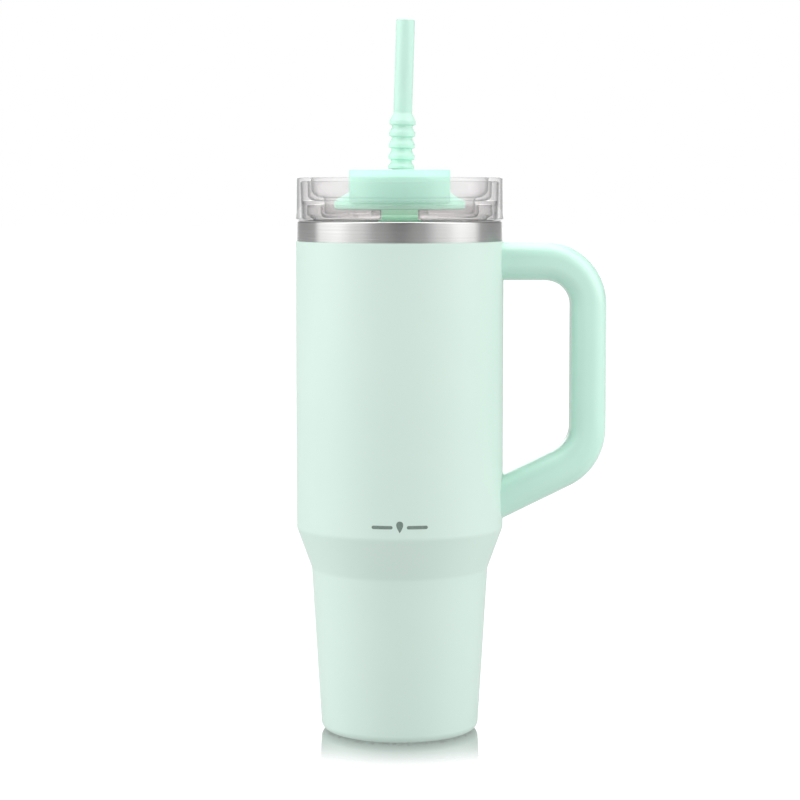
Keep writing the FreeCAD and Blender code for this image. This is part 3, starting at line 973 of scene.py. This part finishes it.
def dress(obj, material, body=None, stands_for=()):
    """Give a piece its material and body, and hide the CAD nodes it stands for."""
    obj.data.materials.clear()
    obj.data.materials.append(material)
    if body:
        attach(obj, body)
    if stands_for:
        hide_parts(*stands_for)
    return obj


coat = coated_steel()
bare = steel()
pressed_steel = plain_steel("pressed_steel", (178, 178, 176), 0.38)
screw_steel = plain_steel("plated_screw", (188, 188, 186), 0.28)
brass_bead = plain_steel("braze_bead", (186, 160, 104), 0.4)
clear_collar = clear_plastic("clear_collar_plastic", COLLAR_FACE_ON)
clear_base = clear_plastic("clear_base_plastic", BASE_FACE_ON)
mint = moulded("mint_gloss_plastic", (182, 236, 215), (187, 239, 219), 0.315, 0.003)
grip = moulded("mint_satin_plastic", (194, 233, 218), (190, 229, 214), 0.32, 0.003,
               Coat_Weight=1.0, Coat_Roughness=0.25)
straw_mint = moulded("straw_plastic", (190, 226, 212), (193, 229, 215), 0.34, 0.003)
core_grey = moulded("core_plastic", (158, 164, 161), (150, 156, 153), 0.5, 0.006)
clear_rubber = silicone("clear_silicone", (222, 226, 224), (214, 218, 216),
                        Transmission_Weight=0.35, IOR=1.41)
# Painted glow: these three carry an emission that paints light onto the grommet, onto the disc's
# edge and underside, and onto the hub, which lie in shade under the cover.
mint_rubber_painted_glow = silicone("mint_silicone", (178, 228, 202), (172, 223, 197),
                       Emission_Color=linear(HUB_PAINTED_GLOW), Emission_Strength=0.12)
mint_hub_painted_glow = moulded("mint_hub_plastic_painted_glow", (178, 230, 206), (182, 233, 210), 0.32, 0.003,
                   Emission_Color=linear(HUB_PAINTED_GLOW), Emission_Strength=1.5)
mint_edge_painted_glow = moulded("mint_edge_plastic_painted_glow", (186, 236, 216), (190, 239, 220), 0.315, 0.003,
                    Emission_Color=linear(HUB_PAINTED_GLOW), Emission_Strength=0.45)

dress(make_coated_body(), coat, "vessel", ["outer_shell"])
dress(make_steel_cup(), bare, "vessel", ["inner_vessel"])
dress(make_base_disc(), coat, "vessel", ["base_cover"])
dress(make_handle(), grip, "vessel", ["handle_grip"])
dress(make_print_mark(), print_ink(), "vessel")
dress(make_clear_base(), clear_base, "lid", ["lid_body"])
dress(make_clear_collar(), clear_collar, "lid", ["lid_rim"])
dress(make_gasket(), clear_rubber, "lid", ["lid_gasket"])
disc = dress(make_turning_disc(), mint, "cover", ["cover_disc"])
# Painted glow on the disc's edge, underside and hub, with painted shade at the hub's foot.
paint_hub_glow(disc, mint_edge_painted_glow, mint_hub_painted_glow)
dress(make_cover_block(), mint, "cover", ["cover_cap"])
dress(make_cover_pad(), clear_rubber, "cover", ["cover_seal"])
dress(make_grommet(), mint_rubber_painted_glow, "cover", ["straw_grommet"])

lower = on_straw(lathe("straw_lower_skin", tube_loop(STRAW_LOW, BELLOWS_LOW - 0.05), 72))
dress(lower, straw_mint, "straw", ["straw_lower_tube"])
mouth = on_straw(lathe("straw_mouth_skin", tube_loop(BELLOWS_TOP + 0.9, STRAW_END), 72))
dress(mouth, straw_mint, "straw_mouth", ["straw_mouth_tube"])
bend = dress(on_straw(make_bellows()), straw_mint, None, ["straw_bellows"])
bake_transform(bend)

for name, material in {
    "base_plate": pressed_steel,
    "seal_off_plug": brass_bead,
    "getter_pellet": sintered(),
    "getter_clip": pressed_steel,
    "handle_bracket_upper": pressed_steel,
    "handle_bracket_lower": pressed_steel,
    "handle_core": core_grey,
    "handle_screws": screw_steel,
    "handle_screw_plugs": grip,
}.items():
    dress(nodes[name], material)


# ---------------------------------------------------------------- studio

def make_floor():
    bm = bmesh.new()
    bmesh.ops.create_grid(bm, x_segments=8, y_segments=8, size=FLOOR_HALF)
    bm.transform(Matrix.Translation((0, 0, -FLOOR_GAP)))
    floor = finish_mesh("floor", bm)
    floor.data.materials.append(floor_finish())


def softbox(name, azimuth, distance, height, width, tall, power, glossy=False):
    """Area light on a circle round the mug, in metres; azimuth from the front, in degrees."""
    a = math.radians(azimuth)
    data = bpy.data.lights.new(name, "AREA")
    data.shape = "RECTANGLE"
    data.size = width
    data.size_y = tall
    data.energy = power
    light = bpy.data.objects.new(name, data)
    light.location = (distance * math.sin(a), -distance * math.cos(a), height)
    aim = Vector((0, 0, LIGHTS_AIM_Z)) - light.location
    light.rotation_euler = aim.to_track_quat("-Z", "Y").to_euler()
    light.visible_camera = False
    light.visible_glossy = glossy
    light.visible_transmission = False
    bpy.context.scene.collection.objects.link(light)


def profile(tree, value, stops):
    """Smooth curve through (degrees, brightness) stops, brightness relative to ROOM_PEAK."""
    ramp = tree.nodes.new("ShaderNodeValToRGB")
    ramp.color_ramp.interpolation = "EASE"
    elements = ramp.color_ramp.elements
    while len(elements) < len(stops):
        elements.new(0.5)
    for element, (degrees, level) in zip(elements, stops):
        element.position = degrees / 360 + 0.5
        element.color = (level / ROOM_PEAK,) * 3 + (1,)
    tree.links.new(value, ramp.inputs["Fac"])
    return ramp.outputs["Color"]


def make_world():
    """Studio room: two tall soft lights at the sides, pale behind; the camera sees plain white."""
    world = bpy.data.worlds.new("studio")
    world.use_nodes = True
    tree = world.node_tree
    tree.nodes.clear()

    def math_node(operation, a, b=None):
        node = tree.nodes.new("ShaderNodeMath")
        node.operation = operation
        for socket, value in zip(node.inputs, (a, b)):
            if isinstance(value, (int, float)):
                socket.default_value = value
            elif value is not None:
                tree.links.new(value, socket)
        return node.outputs["Value"]

    place = tree.nodes.new("ShaderNodeTexCoord")
    split = tree.nodes.new("ShaderNodeSeparateXYZ")
    tree.links.new(place.outputs["Generated"], split.inputs["Vector"])
    ahead = math_node("MULTIPLY", split.outputs["Y"], -1)
    angle = math_node("ARCTAN2", split.outputs["X"], ahead)
    share = math_node("ADD", math_node("DIVIDE", angle, 2 * math.pi), 0.5)
    rays = tree.nodes.new("ShaderNodeLightPath")
    shaders = []
    for stops in (ROOM_ROUND, ROOM_THROUGH):
        room = tree.nodes.new("ShaderNodeBackground")
        room.inputs["Strength"].default_value = ROOM_PEAK
        tree.links.new(profile(tree, share, stops), room.inputs["Color"])
        shaders.append(room.outputs["Background"])
    white = tree.nodes.new("ShaderNodeBackground")
    white.inputs["Color"].default_value = (1, 1, 1, 1)
    shader = shaders[0]
    for ray, other in (("Is Transmission Ray", shaders[1]),
                       ("Is Camera Ray", white.outputs["Background"])):
        shader = mix_shaders(tree, rays.outputs[ray], shader, other)
    out = tree.nodes.new("ShaderNodeOutputWorld")
    tree.links.new(shader, out.inputs["Surface"])
    bpy.context.scene.world = world


def make_camera():
    data = bpy.data.cameras.new("camera")
    data.lens = CAMERA_LENS
    data.sensor_width = CAMERA_SENSOR
    camera = bpy.data.objects.new("camera", data)
    camera.location = CAMERA_PLACE
    camera.rotation_euler = (math.radians(90 - CAMERA_DOWN), 0, 0)
    bpy.context.scene.collection.objects.link(camera)
    bpy.context.scene.camera = camera


make_floor()
make_world()
softbox("fill_left", azimuth=-76, distance=1.3, height=0.55, width=1.2, tall=1.4, power=8.2)
softbox("fill_right", azimuth=70, distance=1.3, height=0.55, width=1.2, tall=1.4, power=7.6)
softbox("box_top", azimuth=0, distance=0.05, height=1.5, width=1.3, tall=1.3, power=10, glossy=True)
softbox("fill_front", azimuth=0, distance=1.2, height=0.27, width=0.9, tall=0.3, power=1.3)
make_camera()
bpy.context.scene.view_settings.view_transform = "Standard"
bpy.context.scene.cycles.transparent_max_bounces = 32
